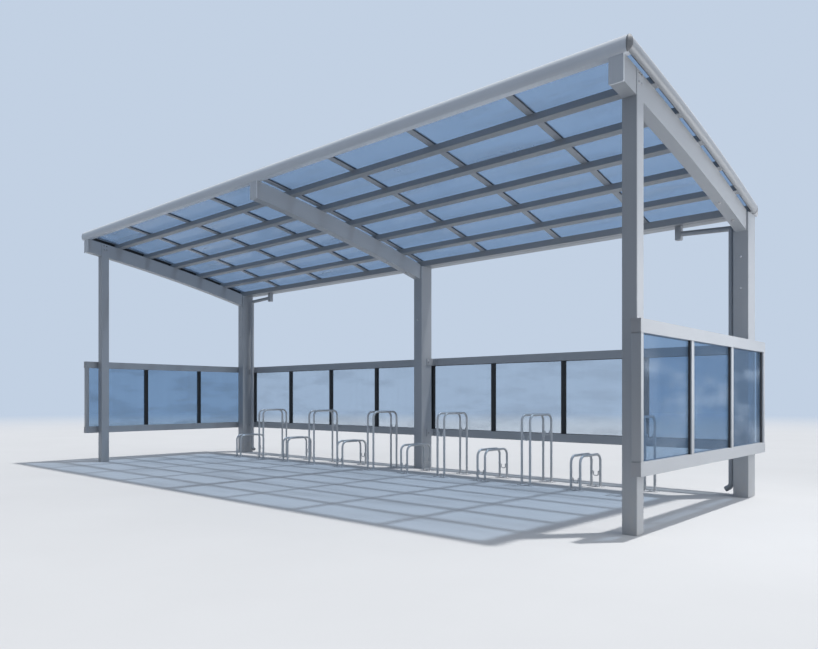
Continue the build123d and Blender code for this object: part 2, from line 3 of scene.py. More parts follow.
import bpy
import numpy as np
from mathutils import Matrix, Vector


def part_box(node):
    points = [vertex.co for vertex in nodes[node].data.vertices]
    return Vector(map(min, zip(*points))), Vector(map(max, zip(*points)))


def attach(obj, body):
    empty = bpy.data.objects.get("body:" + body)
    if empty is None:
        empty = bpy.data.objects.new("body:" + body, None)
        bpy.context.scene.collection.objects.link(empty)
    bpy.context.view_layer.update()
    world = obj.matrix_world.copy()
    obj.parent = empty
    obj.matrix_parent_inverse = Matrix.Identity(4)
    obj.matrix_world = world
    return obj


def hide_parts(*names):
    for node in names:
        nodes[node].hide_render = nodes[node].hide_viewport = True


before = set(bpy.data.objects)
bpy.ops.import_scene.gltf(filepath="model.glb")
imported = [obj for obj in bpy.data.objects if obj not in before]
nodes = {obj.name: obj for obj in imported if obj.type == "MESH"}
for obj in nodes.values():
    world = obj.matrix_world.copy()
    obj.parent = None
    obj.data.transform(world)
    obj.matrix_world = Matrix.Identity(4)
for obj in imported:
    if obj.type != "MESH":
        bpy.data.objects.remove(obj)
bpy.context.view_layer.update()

outward = {"left": -1, "right": 1}  # the way out of the shelter along X at each end
print("frame loaded,", len(nodes), "nodes")


# surfaces worked out as arrays


def gridFaces(rows, columns):
    # quads between neighbours in a grid of points numbered row by row, with the last column joined to the first
    row = np.arange(rows - 1)[:, None] * columns
    column = np.arange(columns)[None, :]
    after = (column + 1) % columns
    quads = np.stack([row + column, row + after, row + columns + after, row + columns + column], -1)
    return quads.reshape(-1, 4).tolist()


def joined(surfaces):
    # one list of points and one of faces out of many (points, faces) pairs, each pair's numbers moved up past those
    # before it
    points, faces, start = [], [], 0
    for some, quads in surfaces:
        points.append(some)
        faces += [[start + n for n in quad] for quad in quads]
        start += len(some)
    return np.concatenate(points), faces


def closedSkin(points):
    # a grid of points, row by row along a piece and round it: quads between the rows and one face on each end
    rows, columns = points.shape[:2]
    ends = [list(range(columns)), list(range((rows - 1) * columns, rows * columns))]
    return points.reshape(-1, 3), gridFaces(rows, columns) + ends


def unit(vectors):  # each vector over its own length
    return vectors / np.linalg.norm(vectors, axis=-1, keepdims=True)


def bentPath(corners, radii, steps):
    # each corner is swapped for a quarter arc, with t from 0 to 90 degrees:
    # corner + back * (1 - sin t) + ahead * (1 - cos t)
    corners = np.array(corners, float)
    turn = np.linspace(0, math.pi / 2, steps + 1)[:, None]
    path = [corners[:1]]
    for before, corner, after, radius in zip(corners, corners[1:], corners[2:], radii):
        back, ahead = unit(before - corner) * radius, unit(after - corner) * radius
        path.append(corner + back * (1 - np.sin(turn)) + ahead * (1 - np.cos(turn)))
    return np.concatenate(path + [corners[-1:]])


def tube(path, radius, across, sides, mouth=None):
    # round section carried along a flat path: path + radius * (cos t * across + sin t * up), where up lies in the
    # plane that halves each bend and is lengthened by 1 / cos(half the bend); a mouth (wall, depth) hollows the end
    across, path = np.array(across, float), np.array(path, float)
    legs = unit(np.diff(path, axis=0))
    halved = unit(np.concatenate([legs[:1], legs[:-1] + legs[1:], legs[-1:]]))
    stretch = 1 / np.sum(halved * np.concatenate([legs, legs[-1:]]), -1, keepdims=True)
    up = np.cross(across, halved) * stretch
    radii = np.full((len(path), 1, 1), radius)
    if mouth:
        wall, depth = mouth
        path = np.concatenate([path, path[-1:], path[-1:] - legs[-1:] * depth])
        up = np.concatenate([up, up[-1:], up[-1:]])
        radii = np.concatenate([radii, np.full((2, 1, 1), radius - wall)])
    turn = np.linspace(0, 2 * math.pi, sides, endpoint=False)[None, :, None]
    return closedSkin(path[:, None] + radii * (np.cos(turn) * across + np.sin(turn) * up[:, None]))


def softBox(low, high, corner, edge):
    # upright block: a rectangle with corners rounded by `corner`, drawn in by edge * (1 - sin t) while it rises by
    # edge * (1 - cos t) at the foot, and the other way round at the top
    steps = 5
    turn = np.linspace(0, math.pi / 2, steps)
    inset = np.concatenate([edge * (1 - np.sin(turn)), edge * (1 - np.cos(turn))])
    rise = np.concatenate([low[2] + edge * (1 - np.cos(turn)), high[2] - edge * (1 - np.sin(turn))])
    middle = (np.array(low[:2]) + np.array(high[:2])) / 2
    half = (np.array(high[:2]) - np.array(low[:2])) / 2
    around = np.concatenate([turn + n * math.pi / 2 for n in range(4)])
    quarter = np.repeat(np.arange(4) + 0.5, steps) * math.pi / 2
    signs = np.sign(np.stack([np.cos(quarter), np.sin(quarter)], -1))
    rim = signs * (half - corner) + corner * np.stack([np.cos(around), np.sin(around)], -1)
    flat = middle + rim[None] * (1 - inset[:, None, None] / half)
    return closedSkin(np.concatenate([flat, np.broadcast_to(rise[:, None, None], flat.shape[:2] + (1,))], -1))


def lathe(profile, foot, axis, sides):
    # profile (radius, height) turned about an axis: foot + height * axis + radius * (cos t * u + sin t * v); a row
    # whose third number is 1 has its radius pulled in to a hexagon, cos 30 / cos(t mod 60 - 30)
    axis = unit(np.array(axis, float))
    aside = (0.31, 0.17, 0.93) if abs(axis[2]) < 0.9 else (1, 0, 0)  # any direction that isn't along the axis
    u = unit(np.cross(axis, aside))
    v = np.cross(axis, u)
    turn = np.linspace(0, 2 * math.pi, sides, endpoint=False)
    radius, height, flat = np.array(profile, float).T[:, :, None]
    pulled = math.cos(math.pi / 6) / np.cos(np.mod(turn, math.pi / 3) - math.pi / 6)
    radius = radius * (1 + flat * (pulled - 1))
    return closedSkin(np.array(foot, float) + height[..., None] * axis
                      + radius[..., None] * (np.cos(turn)[:, None] * u + np.sin(turn)[:, None] * v))


def carried(profile, path, side, up):
    # a closed profile (a, b) carried along a path: path + a * side + b * up; side and up are one direction each, or
    # one at each point
    path = np.array(path, float)
    side, up = np.broadcast_to(side, path.shape), np.broadcast_to(up, path.shape)
    return closedSkin(path[:, None] + profile[None, :, :1] * side[:, None] + profile[None, :, 1:] * up[:, None])


def ring(profile, low, high, face, out):
    # a bead round a rectangle (x, z) that faces +-Y: each profile point (in, away) gives a rectangle drawn in by
    # `in`, at face + out * away
    inward, away = profile.T
    a = np.stack([low[0] + inward, high[0] - inward, high[0] - inward, low[0] + inward], -1)
    b = np.stack([low[1] + inward, low[1] + inward, high[1] - inward, high[1] - inward], -1)
    c = np.broadcast_to((face + out * away)[:, None], a.shape)
    points = np.stack([a, c, b], -1)
    last = (len(profile) - 1) * 4
    underside = [[last + n, last + (n + 1) % 4, (n + 1) % 4, n] for n in range(4)]
    return points.reshape(-1, 3), gridFaces(len(profile), 4) + underside


def addPiece(name, surfaces, material, stands=()):
    # makes the mesh, turns its faces outwards and lets it ride on the shelter, in the place of the nodes in `stands`
    sharpFrom = math.radians(35)
    points, faces = joined(surfaces)
    mesh = bpy.data.meshes.new(name)
    mesh.from_pydata(points.tolist(), [], faces)
    piece = bpy.data.objects.new(name, mesh)
    bpy.context.scene.collection.objects.link(piece)
    bpy.context.view_layer.objects.active = piece
    bpy.ops.object.select_all(action="DESELECT")
    piece.select_set(True)
    bpy.ops.object.mode_set(mode="EDIT")
    bpy.ops.mesh.select_all(action="SELECT")
    bpy.ops.mesh.normals_make_consistent(inside=False)
    bpy.ops.object.mode_set(mode="OBJECT")
    mesh.polygons.foreach_set("use_smooth", np.ones(len(mesh.polygons), bool))
    mesh.set_sharp_from_angle(angle=sharpFrom)
    mesh.materials.append(material)
    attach(piece, "root")
    if stands:
        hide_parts(*stands)


# materials


class Wire:  # the output of a node; + - * ** and abs on it add Math nodes
    def __init__(self, finish, socket):
        self.finish, self.socket = finish, socket

    def worked(self, operation, *values):
        return self.finish.node("ShaderNodeMath", {"operation": operation}, dict(enumerate(values)))

    def __add__(self, other):
        return self.worked("ADD", self, other)

    def __sub__(self, other):
        return self.worked("SUBTRACT", self, other)

    def __rsub__(self, other):
        return self.worked("SUBTRACT", other, self)

    def __mul__(self, other):
        return self.worked("MULTIPLY", self, other)

    def __pow__(self, other):
        return self.worked("POWER", self, other)

    def __abs__(self):
        return self.worked("ABSOLUTE", self)

    __radd__ = __add__
    __rmul__ = __mul__


class Finish:  # one material, or the world, and the nodes in it
    def __init__(self, owner):
        owner.use_nodes = True
        self.owner, self.tree = owner, owner.node_tree
        self.tree.nodes.clear()

    def node(self, kind, settings, sockets, output=0):  # any node: its settings, what its sockets get, its output
        made = self.tree.nodes.new(kind)
        for name, value in settings.items():
            setattr(made, name, value)
        for key, value in sockets.items():
            if isinstance(value, Wire):
                self.tree.links.new(value.socket, made.inputs[key])
            else:
                made.inputs[key].default_value = value
        return Wire(self, made.outputs[output]) if made.outputs else None

    def place(self):  # the piece's own coordinates, in metres
        return self.node("ShaderNodeTexCoord", {}, {}, "Object")

    def axes(self):  # x, y and z of that place
        place = self.place()
        return [self.node("ShaderNodeSeparateXYZ", {}, {0: place}, n) for n in range(3)]

    def noise(self, scale, detail=3.0, rough=0.55, stretch=(1, 1, 1)):  # about 0.5; the place is stretched first
        where = self.node("ShaderNodeVectorMath", {"operation": "MULTIPLY"}, {0: self.place(), 1: stretch})
        return self.node("ShaderNodeTexNoise", {}, {"Vector": where, "Scale": scale, "Detail": detail,
                                                    "Roughness": rough})

    def ramp(self, value, low, high):  # 0 at low, 1 at high, eased between
        return self.node("ShaderNodeMapRange", {"interpolation_type": "SMOOTHSTEP"},
                         {"Value": value, "From Min": low, "From Max": high})

    def mix(self, share, first, second):  # colours
        return self.node("ShaderNodeMix", {"data_type": "RGBA"}, {0: share, 6: first, 7: second}, 2)

    def tinted(self, colour, amount):  # a colour made lighter or darker by a value about 1
        return self.node("ShaderNodeVectorMath", {"operation": "SCALE"}, {0: colour[:3], "Scale": amount})

    def facingUp(self):  # 1 on level faces seen from above, 0 on upright ones, -1 on undersides
        normal = self.node("ShaderNodeNewGeometry", {}, {}, "Normal")
        return self.node("ShaderNodeSeparateXYZ", {}, {0: normal}, 2)

    def edges(self, width):  # 1 on worn corners, from how far a rounded normal leaves the true one
        rounded = self.node("ShaderNodeBevel", {"samples": 4}, {"Radius": width})
        true = self.node("ShaderNodeNewGeometry", {}, {}, "True Normal")
        agree = self.node("ShaderNodeVectorMath", {"operation": "DOT_PRODUCT"}, {0: rounded, 1: true}, "Value")
        return self.ramp(1 - agree, 0.02, 0.25), rounded

    def clamped(self, first, second):  # a sum held between 0 and 1
        return self.node("ShaderNodeMath", {"operation": "ADD", "use_clamp": True}, {0: first, 1: second})

    def seen(self):  # 1 for what the camera sees, straight or by way of metal and glass
        camera, glossy, through = [self.node("ShaderNodeLightPath", {}, {}, name)
                                   for name in ("Is Camera Ray", "Is Glossy Ray", "Is Transmission Ray")]
        return self.clamped(camera + glossy, through)

    def finished(self, surface):
        self.node("ShaderNodeOutputMaterial", {}, {"Surface": surface})
        return self.owner


aluminium = {
    "colour": (0.43, 0.455, 0.49, 1),
    "worn": (0.58, 0.605, 0.64, 1),
    "dust": (0.52, 0.50, 0.46, 1),
    # the pale colour of the painted highlight on sky-facing aluminium; on the moulded caps below, real bleaching
    "bleachAndHighlight": (0.85, 0.865, 0.89, 1),
    "rubber": (0.016, 0.018, 0.021, 1),
    "metallic": 0.09,
    "roughness": 0.40,
    "edge": 0.0016,
    "splashed": 0.30,
}


def anodised(name, along, tone=1.0, rubberWhere=None, splash=False, paintedHighlight=0.0):
    # drawn aluminium: colour * (0.9 + 0.14 * broad noise + 0.09 * die lines about 0) * tone, where a tone above 1 is
    # painted light and one below 1 painted shade, then paler on worn corners and dusty on top, with a painted
    # highlight on sky-facing faces when asked; rougher by the same lines, the dirt and the broad noise
    f = Finish(bpy.data.materials.new(name))
    stretch = {"x": (1.2, 220, 220), "y": (220, 1.2, 220), "z": (220, 220, 1.2)}[along]
    lines = f.noise(1.0, 4.0, stretch=stretch)
    broad = f.noise(1.7, 4.0)
    grain = f.noise(900.0, 2.0)
    specks = f.ramp(f.noise(60.0, 5.0, 0.7), 0.66, 0.74)
    worn, rounded = f.edges(aluminium["edge"])
    dusty = f.ramp(f.facingUp(), 0.55, 0.98) * f.ramp(f.noise(7.0, 6.0, 0.65), 0.35, 0.7) * 0.45
    dirty = dusty + specks * 0.06
    if splash:  # rain throws grit at the feet of the posts
        height = f.axes()[2]
        grit = f.ramp(f.noise(26.0, 6.0, 0.7, (1, 1, 0.5)), 0.42, 0.66)
        dirty = dirty + f.ramp(height, aluminium["splashed"], 0.0) * grit * 0.34
    metal = f.tinted(aluminium["colour"], (0.90 + broad * 0.14 + (lines - 0.5) * 0.09) * tone)
    colour = f.mix(worn * 0.55, metal, aluminium["worn"])
    if paintedHighlight:  # painted highlight: rounded edges that face the sky are painted pale, as if lit
        colour = f.mix(f.ramp(f.facingUp(), 0.05, 0.7) * paintedHighlight, colour, aluminium["bleachAndHighlight"])
    colour = f.mix(dirty, colour, aluminium["dust"])
    roughness = aluminium["roughness"] + (lines - 0.5) * 0.12 + dirty * 0.35 + (broad - 0.5) * 0.06
    metallic = aluminium["metallic"]
    if rubberWhere:
        black = rubberWhere(f)
        colour = f.mix(black, colour, aluminium["rubber"])
        roughness = roughness * (1 - black) + black * 0.62
        metallic = (1 - black) * aluminium["metallic"]
    bump = f.node("ShaderNodeBump", {}, {"Strength": 0.22, "Distance": 0.0004, "Height": lines + grain * 0.35,
                                         "Normal": rounded})
    shader = f.node("ShaderNodeBsdfPrincipled", {}, {"Base Color": colour, "Roughness": roughness,
                                                     "Metallic": metallic, "Normal": bump})
    return f.finished(shader)


moulded = {"colour": (0.44, 0.455, 0.485, 1), "bleachAndHighlight": (0.52, 0.53, 0.55, 1), "roughness": 0.5, "edge": 0.003}


def mouldedCaps(name, tone=1.0):
    # grey moulded plastic: colour * (0.92 + 0.16 * broad noise) * tone, a fine spark-eroded grain as bump, a little
    # bleached where it faces the sky and on its edges
    f = Finish(bpy.data.materials.new(name))
    grain = f.noise(700.0, 3.0)
    broad = f.noise(5.0, 4.0)
    worn, rounded = f.edges(moulded["edge"])
    bleachAndHighlight = f.ramp(f.facingUp(), 0.2, 1.0) * 0.3 + worn * 0.25
    colour = f.tinted(moulded["colour"], (0.92 + broad * 0.16) * tone)
    colour = f.mix(bleachAndHighlight, colour, moulded["bleachAndHighlight"])
    bump = f.node("ShaderNodeBump", {}, {"Strength": 0.3, "Distance": 0.0005, "Height": grain, "Normal": rounded})
    shader = f.node("ShaderNodeBsdfPrincipled", {}, {"Base Color": colour, "Normal": bump,
                                                     "Roughness": moulded["roughness"] + (broad - 0.5) * 0.15})
    return f.finished(shader)


rubberBead = {"colour": (0.018, 0.020, 0.023, 1), "bloom": (0.055, 0.057, 0.06, 1), "roughness": 0.58}


def rubber(name):
    # black seal: matt, with a grey bloom in patches
    f = Finish(bpy.data.materials.new(name))
    bloom = f.ramp(f.noise(14.0, 5.0, 0.65), 0.45, 0.75)
    colour = f.mix(bloom * 0.5, rubberBead["colour"], rubberBead["bloom"])
    bump = f.node("ShaderNodeBump", {}, {"Strength": 0.25, "Distance": 0.0006,
                                         "Height": f.noise(500.0, 2.0)})
    shader = f.node("ShaderNodeBsdfPrincipled", {}, {"Base Color": colour, "Normal": bump,
                                                     "Roughness": rubberBead["roughness"] + bloom * 0.2})
    return f.finished(shader)


galvanised = {"colour": (0.50, 0.515, 0.53, 1), "rust": (0.21, 0.115, 0.06, 1), "metallic": 0.55, "roughness": 0.4,
              "rustTop": 0.045}


def rackSteel(name):
    # galvanised tube: colour * (0.86 + 0.28 * zinc patches a few millimetres wide + 0.2 * broad noise about 0), with
    # a rust bloom near the ground
    f = Finish(bpy.data.materials.new(name))
    spangle = f.node("ShaderNodeTexVoronoi", {}, {"Vector": f.place(), "Scale": 210.0}, "Distance")
    broad = f.noise(11.0, 5.0)
    height = f.axes()[2]
    rust = f.ramp(height, galvanised["rustTop"], 0.004) * f.ramp(f.noise(90.0, 5.0, 0.7), 0.50, 0.68) * 0.55
    colour = f.tinted(galvanised["colour"], 0.86 + spangle * 0.28 + (broad - 0.5) * 0.2)
    colour = f.mix(rust, colour, galvanised["rust"])
    bump = f.node("ShaderNodeBump", {}, {"Strength": 0.2, "Distance": 0.0004,
                                         "Height": spangle + f.noise(380.0, 3.0) * 0.5})
    shader = f.node("ShaderNodeBsdfPrincipled", {}, {
        "Base Color": colour, "Metallic": (1 - rust) * galvanised["metallic"], "Normal": bump,
        "Roughness": galvanised["roughness"] + (spangle - 0.4) * 0.2 + rust * 0.4})
    return f.finished(shader)


fixings = {"colour": (0.56, 0.565, 0.58, 1), "grime": (0.2, 0.19, 0.175, 1), "metallic": 0.75, "roughness": 0.24}


def brightSteel(name):
    # screws and anchors: stainless steel, duller and rougher by patches of grime
    f = Finish(bpy.data.materials.new(name))
    grime = f.ramp(f.noise(160.0, 4.0, 0.65), 0.48, 0.72)
    colour = f.mix(grime * 0.5, fixings["colour"], fixings["grime"])
    shader = f.node("ShaderNodeBsdfPrincipled", {}, {"Base Color": colour, "Metallic": fixings["metallic"],
                                                     "Roughness": fixings["roughness"] + grime * 0.3})
    return f.finished(shader)


def seeThrough(name, look):
    # a clear sheet tints what is behind it at each face, and shines by 0.03 + 0.97 * grazing ^ 5, so more the flatter
    # it is seen; a film of dust lies on it in streaks that follow the water's way down
    f = Finish(bpy.data.materials.new(name))
    streaks = f.noise(1.0, 5.0, 0.6, look["streaks"])
    patches = f.noise(3.1, 5.0, 0.6)
    haze = f.ramp(f.noise(1.0, 4.0, 0.55, look["haze"]), 0.44, 0.72)
    film = look["film"] * (0.3 + streaks * 0.6 + patches * 0.4 + haze * 1.6)
    if look["dust"]:
        film = film + f.ramp(f.facingUp(), 0.3, 0.9) * f.ramp(streaks + patches, 0.85, 1.35) * look["dust"]
    grazing = f.node("ShaderNodeLayerWeight", {}, {"Blend": 0.5}, "Facing")
    shine = 0.03 + 0.97 * grazing ** 5
    share = f.clamped(film, shine * look["shine"])
    colour = f.mix(haze * 0.6, f.tinted(look["body"], 0.9 + patches * 0.2), look["pale"])
    waves = f.node("ShaderNodeBump", {}, {"Strength": 0.06, "Distance": 0.004,
                                          "Height": f.noise(1.0, 2.0, stretch=look["waves"])})
    clear = f.node("ShaderNodeBsdfTransparent", {}, {"Color": look["tint"]})
    surface = f.node("ShaderNodeBsdfPrincipled", {}, {"Base Color": colour, "Normal": waves, "IOR": 1.5,
                                                      "Roughness": look["roughness"] + (patches - 0.5) * 0.08})
    return f.finished(f.node("ShaderNodeMixShader", {}, {0: share, 1: clear, 2: surface}))


roofSheet = {"tint": (0.675, 0.765, 0.865, 1), "body": (0.28, 0.41, 0.57, 1), "pale": (0.72, 0.80, 0.88, 1),
             "film": 0.11, "dust": 0.14, "shine": 0.9, "roughness": 0.12, "streaks": (26, 0.8, 26),
             "haze": (0.9, 4.5, 0.9), "waves": (3, 1.5, 3)}
tintedPane = {"tint": (0.62, 0.73, 0.84, 1), "body": (0.16, 0.24, 0.35, 1), "pale": (0.50, 0.60, 0.72, 1),
              "film": 0.12, "dust": 0.0, "shine": 0.8, "roughness": 0.07, "streaks": (30, 30, 1.1),
              "haze": (2, 1.2, 5), "waves": (2, 2, 2)}
clearPane = {"tint": (0.84, 0.89, 0.94, 1), "body": (0.33, 0.42, 0.50, 1), "pale": (0.70, 0.76, 0.82, 1),
             "film": 0.07, "dust": 0.0, "shine": 0.9, "roughness": 0.06, "streaks": (30, 30, 1.1),
             "haze": (1.2, 2, 5), "waves": (2, 2, 2)}


sideScreen = {"middle": 3.048, "cap": 0.0130, "front": -1.002, "rear": 0.980, "soft": 0.004}
rearScreen = {"middle": 1.055, "cap": 0.0085, "end": 2.9445, "soft": 0.001}
capEdge = 0.0006  # over which black turns to bare metal


def sideRubber(f):  # the mullions are black but for their outer caps; the stiles at both ends stay bare
    x, y = f.axes()[:2]
    inner = f.ramp(abs(x) - sideScreen["middle"], sideScreen["cap"] + capEdge, sideScreen["cap"] - capEdge)
    behind = f.ramp(y, sideScreen["front"], sideScreen["front"] + sideScreen["soft"])
    return inner * behind * f.ramp(y, sideScreen["rear"], sideScreen["rear"] - sideScreen["soft"])


def rearRubber(f):  # black on the inside, bare on the outer caps and on the screens' far ends
    x, y = f.axes()[:2]
    inner = f.ramp(y - rearScreen["middle"], rearScreen["cap"] + capEdge, rearScreen["cap"] - capEdge)
    return inner * f.ramp(abs(x), rearScreen["end"], rearScreen["end"] - rearScreen["soft"])


finishes = {
    "alongX": anodised("satin_aluminium_x", "x"),
    # painted shade: the purlins and the rear rail are the same aluminium made 0.82 times as light
    "purlins": anodised("purlin_aluminium_painted_shade", "x", tone=0.82),
    # painted light: the fascia is the same aluminium made 1.85 times lighter, with a painted highlight on its top
    "fascia": anodised("fascia_aluminium_painted_light", "x", tone=1.85, paintedHighlight=0.8),
    # painted light: the beams' end caps are the same aluminium made 1.6 times lighter
    "beamCapsPaintedLight": anodised("beam_cap_aluminium_painted_light", "z", tone=1.6),
    # painted shade and painted highlight: the side frames are the same aluminium made 0.82 times as light, their
    # sky-facing tops painted pale
    "sideNose": anodised("side_frame_painted_shade_and_highlight", "y", tone=0.82, paintedHighlight=1.0),
    "alongY": anodised("satin_aluminium_y", "y"),
    "alongZ": anodised("satin_aluminium_z", "z", splash=True),
    "sideUprights": anodised("side_upright_two_tone", "z", rubberWhere=sideRubber),
    "rearUprights": anodised("rear_upright_two_tone", "z", rubberWhere=rearRubber),
    "caps": mouldedCaps("moulded_grey"),
    "cornerCaps": mouldedCaps("moulded_dark_grey", 0.55),
    "steel": rackSteel("galvanised_steel"),
    "bright": brightSteel("stainless_fixings"),
    "seal": rubber("black_seal"),
    "roofSheet": seeThrough("roof_sheet_blue", roofSheet),
    "tintedPane": seeThrough("side_pane_blue", tintedPane),
    "clearPane": seeThrough("rear_pane_clear", clearPane),
}
print("materials made,", len(finishes))

dressing = {  # the CAD nodes that stay, and what each is finished in
    "purlins": "purlins rear_rail",
    "alongX": "gutter rear_screen_rails_left rear_screen_rails_right screen_spacers screen_brackets",
    "beamCapsPaintedLight": "beam_end_caps",
    "alongY": "beam_left beam_middle beam_right glazing_bars side_screen_rails_left side_screen_rails_right",
    "alongZ": "front_post_left front_post_right rear_post_left rear_post_middle rear_post_right",
    "rearUprights": "rear_screen_uprights_left rear_screen_uprights_right",
    "caps": "rail_end_caps gutter_end_caps",
    "steel": "rack_plates",
    "roofSheet": "roof_sheets_left roof_sheets_right",
    "tintedPane": "side_screen_panes_left side_screen_panes_right",
    "clearPane": "rear_screen_panes_left rear_screen_panes_right",
}
for finishName, names in dressing.items():
    for name in names.split():
        for holder in nodes[name].material_slots:
            holder.material = finishes[finishName]


# racks: smooth hoops, wheel rests, welds and anchors

rack = {"count": 12, "pitch": 0.430, "gap": 0.075, "tube": 0.0095, "bend": 0.055, "sides": 18, "bendSteps": 9,
        "weld": 0.0038}
rest = {"rod": 0.004, "sides": 10, "depth": 0.034, "bends": (0.006, 0.013, 0.013, 0.006), "bendSteps": 5,
        "clear": 0.008, "sunk": 0.0038, "frontDrop": 0.172, "rearDrop": 0.143, "weld": 0.0022}


def weldRound(centre, axis, inner, size):
    # a hollow fillet round a tube: its radius is inner + size * (1 - sin t) where it has risen by size * t / 90
    # degrees
    hidden = inner * 0.7
    rise = np.linspace(0, 1, 4)
    profile = [(inner + size * (1 - math.sin(t * math.pi / 2)), size * t, 0) for t in rise]
    return lathe([(hidden, 0, 0)] + profile + [(hidden, size, 0)], centre, axis, 12)


rackLow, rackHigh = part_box("low_racks")
tops = {"low": rackHigh.z, "high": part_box("high_racks")[1].z}
firstX = rackLow.x + rack["tube"] + rack["gap"] / 2
frontY, rearY = rackLow.y + rack["tube"], rackHigh.y - rack["tube"]
footZ = rackLow.z
legFace = rack["gap"] / 2 - rack["tube"]
hoops = {"low": [], "high": []}
rests, welds = [], []
for n in range(rack["count"]):
    kind = "high" if n % 2 else "low"
    top = tops[kind]
    x = firstX + n * rack["pitch"]
    for side in (-1, 1):
        hoopX = x + side * rack["gap"] / 2
        middle = top - rack["tube"]
        path = bentPath([(hoopX, frontY, footZ), (hoopX, frontY, middle), (hoopX, rearY, middle),
                         (hoopX, rearY, footZ)], (rack["bend"], rack["bend"]), rack["bendSteps"])
        hoops[kind].append(tube(path, rack["tube"], (1, 0, 0), rack["sides"]))
        welds += [weldRound((hoopX, y, footZ), (0, 0, 1), rack["tube"], rack["weld"]) for y in (frontY, rearY)]
    half, inner = legFace + rest["sunk"], legFace - rest["clear"]
    for y, drop in ((frontY, rest["frontDrop"]), (rearY, rest["rearDrop"])):
        z = top - drop
        path = bentPath([(x - half, y, z), (x - inner, y, z), (x - inner, y, z - rest["depth"]),
                         (x + inner, y, z - rest["depth"]), (x + inner, y, z), (x + half, y, z)],
                        rest["bends"], rest["bendSteps"])
        rests.append(tube(path, rest["rod"], (0, 1, 0), rest["sides"]))
        welds += [weldRound((x + side * legFace, y, z), (-side, 0, 0), rest["rod"], rest["weld"]) for side in (-1, 1)]
for kind, bent in hoops.items():
    addPiece(kind + "_rack_hoops", bent, finishes["steel"], stands=(kind + "_racks",))
addPiece("wheel_rest_rods", rests, finishes["steel"], stands=("wheel_rests",))
addPiece("rack_welds", welds, finishes["steel"])

anchor = {"washer": 0.011, "head": 0.0075, "washerRise": 0.0016, "headRise": 0.0075, "chamfer": 0.0009}


def hexAnchor(foot, axis=(0, 0, 1)):
    # washer, then a hexagon head with its top edge turned off
    w, h = anchor["washer"], anchor["head"]
    low, high = anchor["washerRise"], anchor["headRise"]
    return lathe([(w, 0, 0), (w, low * 0.7, 0), (w * 0.96, low, 0), (h, low, 1), (h, high - anchor["chamfer"], 1),
                  (h * 0.88, high, 0), (h * 0.3, high, 0)], foot, axis, 24)


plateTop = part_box("rack_plates")[1].z
anchors = [hexAnchor((firstX + n * rack["pitch"], y, plateTop))
           for n in range(rack["count"]) for y in (frontY, rearY)]
addPiece("rack_anchors", anchors, finishes["bright"])
print("racks made,", rack["count"])


# the roof's top line: an arc of a known radius through its front and rear ends (y, z)

roofArc = {"front": (-1.080, 2.438), "rear": (0.955, 2.033), "radius": 18.0}
chordY = roofArc["rear"][0] - roofArc["front"][0]
chordZ = roofArc["rear"][1] - roofArc["front"][1]
chord = math.hypot(chordY, chordZ)
offset = math.sqrt(roofArc["radius"] ** 2 - chord ** 2 / 4)
roofArc["y"] = (roofArc["front"][0] + roofArc["rear"][0]) / 2 + offset * chordZ / chord
roofArc["z"] = (roofArc["front"][1] + roofArc["rear"][1]) / 2 - offset * chordY / chord


def arcAngle(y):  # of the points at y on the top line, from the vertical
    return np.arcsin((np.asarray(y, float) - roofArc["y"]) / roofArc["radius"])


def arcAt(angle, depth=0.0):
    # points at some depth under the top line, and the direction from the arc's centre to each: centre + (radius -
    # depth) * (0, sin angle, cos angle)
    radial = np.stack([0 * angle, np.sin(angle), np.cos(angle)], -1)
    return np.array([0, roofArc["y"], roofArc["z"]]) + (roofArc["radius"] - depth) * radial, radial


def downRoof(profile, front, rear, rows):  # a profile (x, up) carried along the arc from one y to another
    line, radial = arcAt(arcAngle(np.linspace(front, rear, rows)))
    return carried(profile, line, (1, 0, 0), radial)


# screws of the frame


def spansOf(name, axis):  # where each straight solid of a node, such as a pane, begins and ends along an axis
    marks = sorted({round(v.co[axis], 4) for v in nodes[name].data.vertices})
    return list(zip(marks[::2], marks[1::2]))


screw = {"radius": 0.0082, "rise": 0.0036, "socket": 0.0031, "dome": math.radians(37.8), "forkInset": 0.026,
         "forkDrops": (0.024, 0.064), "postHeights": (1.659, 1.443), "beamYs": (0.420, 0.681), "beamDepth": 0.216,
         "bracket": 0.005, "footOut": 0.027, "wallIn": 0.022}


def socketScrew(foot, axis):
    # button head: a dome, radius * cos t out and rise * sin t / sin(dome) up, with a hexagon socket sunk to a third
    # of its rise
    r, h, s = screw["radius"], screw["rise"], screw["socket"]
    dome = [(r * math.cos(t), h * math.sin(t) / math.sin(screw["dome"]), 0) for t in np.linspace(screw["dome"], 0, 5)]
    return lathe([(s * 0.2, h * 0.35, 1), (s, h * 0.35, 1), (s, h * 0.97, 1)] + dome, foot, axis, 24)


rearPosts = [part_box("rear_post_" + name) for name in ("left", "middle", "right")]
screws = []
for name in outward:  # two by two through each cheek of the fork
    low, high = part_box("front_post_" + name)
    for y in (high.y - screw["forkInset"], low.y + screw["forkInset"]):
        for drop in screw["forkDrops"]:
            z = high.z - drop
            screws += [socketScrew((low.x, y, z), (-1, 0, 0)), socketScrew((high.x, y, z), (1, 0, 0))]
for low, high in rearPosts:  # below the beams' ends
    for z in screw["postHeights"]:
        screws.append(socketScrew(((low.x + high.x) / 2, low.y, z), (0, -1, 0)))
underRadius = roofArc["radius"] - screw["beamDepth"]
for name in ("left", "middle", "right"):  # under the beams, near the rear posts
    low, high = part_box("beam_" + name)
    for y in screw["beamYs"]:
        fromCentre = y - roofArc["y"]
        z = roofArc["z"] + math.sqrt(underRadius ** 2 - fromCentre ** 2)
        screws.append(hexAnchor(((low.x + high.x) / 2, y, z), (0, -fromCentre / underRadius, -1)))
